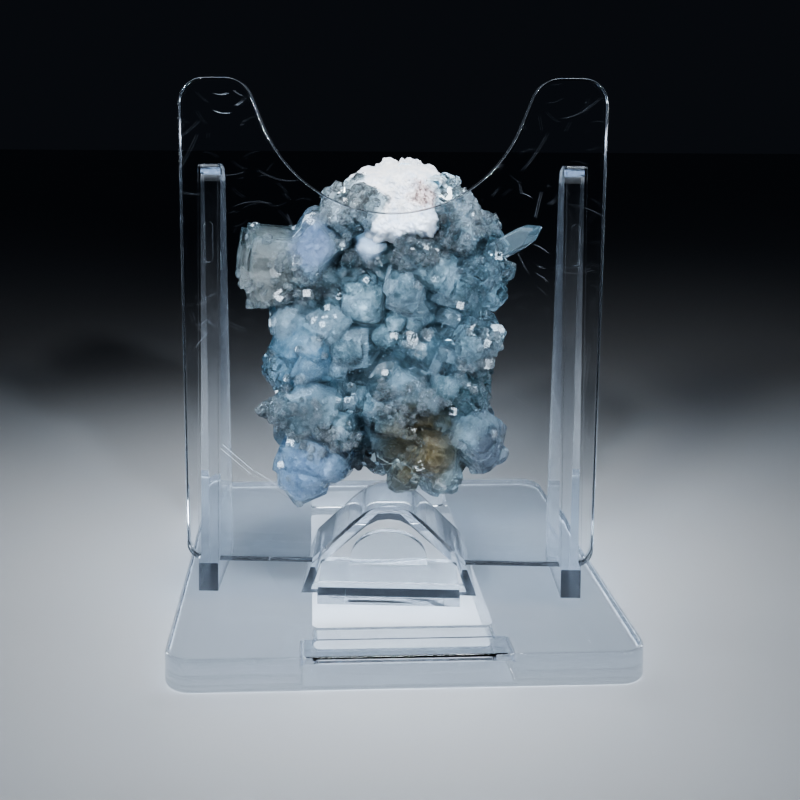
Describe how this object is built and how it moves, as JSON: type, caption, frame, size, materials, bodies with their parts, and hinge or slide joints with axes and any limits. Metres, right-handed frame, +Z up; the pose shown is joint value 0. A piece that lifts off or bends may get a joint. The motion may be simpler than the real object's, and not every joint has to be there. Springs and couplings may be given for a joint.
{
  "type": "apophyllite crystal cluster on a clear display stand",
  "caption": "Pale translucent crystal cluster leaning behind a U-cut clear upright with bracing ribs and an arched foot, set on a clear windowed base plate.",
  "frame": {"origin": "middle of the base plate's footprint, on the surface it stands on", "axes": "+Z up, +X to the right along the upright plate, +Y from the upright's front face towards the cluster and the back of the base"},
  "size_m": [0.0668, 0.0702, 0.0783],
  "materials": {
    "apophyllite": "pale blue-grey translucent crystal, vitreous faces, pearly ends and frosted white matrix",
    "clear_upright": "clear moulded styrene, polished, finely scratched, bright edges",
    "clear_base": "clear moulded styrene, polished, finely scratched, bright edges"
  },
  "bodies": {
    "root": {"apophyllite_cluster": "apophyllite", "stand_upright": "clear_upright", "stand_base": "clear_base"}
  },
  "joints": []
}
